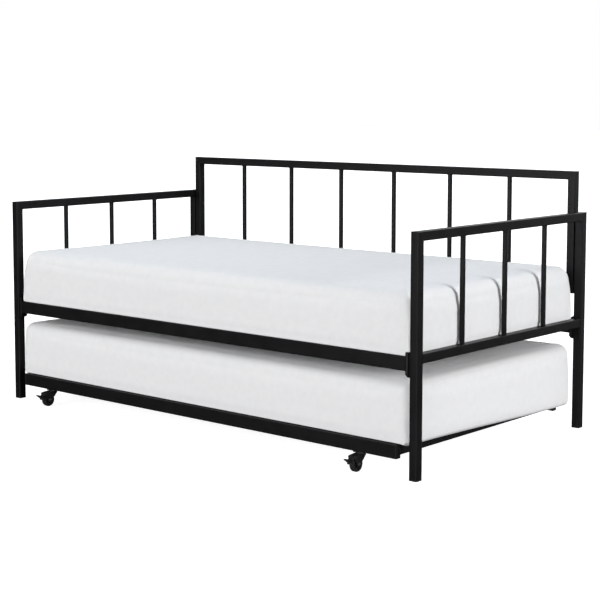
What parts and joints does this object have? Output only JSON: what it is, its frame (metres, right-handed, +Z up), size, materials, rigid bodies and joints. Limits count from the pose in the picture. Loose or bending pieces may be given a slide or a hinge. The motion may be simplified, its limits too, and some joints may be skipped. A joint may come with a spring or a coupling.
{
  "type": "trundle bed",
  "caption": "Twin daybed in black square steel tube with spindle arms and back, over a roll-out trundle on swivel casters; each level holds a mattress.",
  "frame": {"origin": "on the floor, at the middle of the whole object box with the trundle stored", "axes": "+Z up, +X along the bed towards its right end as seen from the front, -Y towards the front, where the trundle rolls out"},
  "size_m": [1.956, 1.086, 0.922],
  "materials": {
    "frame_steel": "satin black powder coat",
    "deck_steel": "matt black powder coat",
    "cap_plastic": "moulded, matt",
    "caster_plastic": "moulded, satin",
    "caster_tyre": "matt",
    "caster_metal": "dark zinc plated",
    "mattress_fabric": "white cotton knit, soft"
  },
  "bodies": {
    "daybed": {"left_arm_front_leg": "frame_steel", "left_arm_rear_leg": "frame_steel", "left_arm_top_rail": "frame_steel", "left_arm_lower_rail": "frame_steel", "left_arm_spindle_1": "frame_steel", "left_arm_spindle_2": "frame_steel", "left_arm_spindle_3": "frame_steel", "left_front_foot_cap": "cap_plastic", "left_rear_foot_cap": "cap_plastic", "right_arm_front_leg": "frame_steel", "right_arm_rear_leg": "frame_steel", "right_arm_top_rail": "frame_steel", "right_arm_lower_rail": "frame_steel", "right_arm_spindle_1": "frame_steel", "right_arm_spindle_2": "frame_steel", "right_arm_spindle_3": "frame_steel", "right_front_foot_cap": "cap_plastic", "right_rear_foot_cap": "cap_plastic", "back_left_post": "frame_steel", "back_right_post": "frame_steel", "back_top_rail": "frame_steel", "back_bottom_rail": "frame_steel", "back_spindle_1": "frame_steel", "back_spindle_2": "frame_steel", "back_spindle_3": "frame_steel", "back_spindle_4": "frame_steel", "back_spindle_5": "frame_steel", "back_spindle_6": "frame_steel", "front_side_rail": "frame_steel", "front_left_rail_bracket": "frame_steel", "front_right_rail_bracket": "frame_steel", "rear_side_rail": "frame_steel", "rear_left_rail_bracket": "frame_steel", "rear_right_rail_bracket": "frame_steel", "daybed_slat_deck": "deck_steel", "daybed_mattress": "mattress_fabric"},
    "trundle": {"trundle_front_rail": "frame_steel", "trundle_rear_rail": "frame_steel", "trundle_left_end_rail": "frame_steel", "trundle_right_end_rail": "frame_steel", "trundle_slat_deck": "deck_steel", "trundle_mattress": "mattress_fabric", "front_left_caster_plate": "caster_metal", "front_right_caster_plate": "caster_metal", "rear_left_caster_plate": "caster_metal", "rear_right_caster_plate": "caster_metal"},
    "front_left_fork": {"front_left_caster_fork": "caster_plastic", "front_left_caster_axle": "caster_metal"},
    "front_left_wheel": {"front_left_caster_wheel": "caster_tyre"},
    "front_left_pedal": {"front_left_caster_pedal": "caster_plastic"},
    "front_right_fork": {"front_right_caster_fork": "caster_plastic", "front_right_caster_axle": "caster_metal"},
    "front_right_wheel": {"front_right_caster_wheel": "caster_tyre"},
    "front_right_pedal": {"front_right_caster_pedal": "caster_plastic"},
    "rear_left_fork": {"rear_left_caster_fork": "caster_plastic", "rear_left_caster_axle": "caster_metal"},
    "rear_left_wheel": {"rear_left_caster_wheel": "caster_tyre"},
    "rear_right_fork": {"rear_right_caster_fork": "caster_plastic", "rear_right_caster_axle": "caster_metal"},
    "rear_right_wheel": {"rear_right_caster_wheel": "caster_tyre"}
  },
  "joints": [
    {"name": "trundle_slide", "type": "slide", "parent": "daybed", "child": "trundle", "axis": [0, -1, 0], "range_m": [0, 1.05]},
    {"name": "front_left_swivel", "type": "hinge", "parent": "trundle", "child": "front_left_fork", "pos_m": [-0.755, -0.4695, 0.0565], "axis": [0, 0, 1], "continuous": true},
    {"name": "front_left_roll", "type": "hinge", "parent": "front_left_fork", "child": "front_left_wheel", "pos_m": [-0.755, -0.4915, 0.025], "axis": [1, 0, 0], "continuous": true},
    {"name": "front_left_brake", "type": "hinge", "parent": "front_left_fork", "child": "front_left_pedal", "pos_m": [-0.755, -0.5105, 0.05], "axis": [1, 0, 0], "range_deg": [0, 12]},
    {"name": "front_right_swivel", "type": "hinge", "parent": "trundle", "child": "front_right_fork", "pos_m": [0.755, -0.4695, 0.0565], "axis": [0, 0, 1], "continuous": true},
    {"name": "front_right_roll", "type": "hinge", "parent": "front_right_fork", "child": "front_right_wheel", "pos_m": [0.755, -0.4915, 0.025], "axis": [1, 0, 0], "continuous": true},
    {"name": "front_right_brake", "type": "hinge", "parent": "front_right_fork", "child": "front_right_pedal", "pos_m": [0.755, -0.5105, 0.05], "axis": [1, 0, 0], "range_deg": [0, 12]},
    {"name": "rear_left_swivel", "type": "hinge", "parent": "trundle", "child": "rear_left_fork", "pos_m": [-0.65, 0.4675, 0.0565], "axis": [0, 0, 1], "continuous": true},
    {"name": "rear_left_roll", "type": "hinge", "parent": "rear_left_fork", "child": "rear_left_wheel", "pos_m": [-0.65, 0.4455, 0.025], "axis": [1, 0, 0], "continuous": true},
    {"name": "rear_right_swivel", "type": "hinge", "parent": "trundle", "child": "rear_right_fork", "pos_m": [0.65, 0.4675, 0.0565], "axis": [0, 0, 1], "continuous": true},
    {"name": "rear_right_roll", "type": "hinge", "parent": "rear_right_fork", "child": "rear_right_wheel", "pos_m": [0.65, 0.4455, 0.025], "axis": [1, 0, 0], "continuous": true}
  ]
}
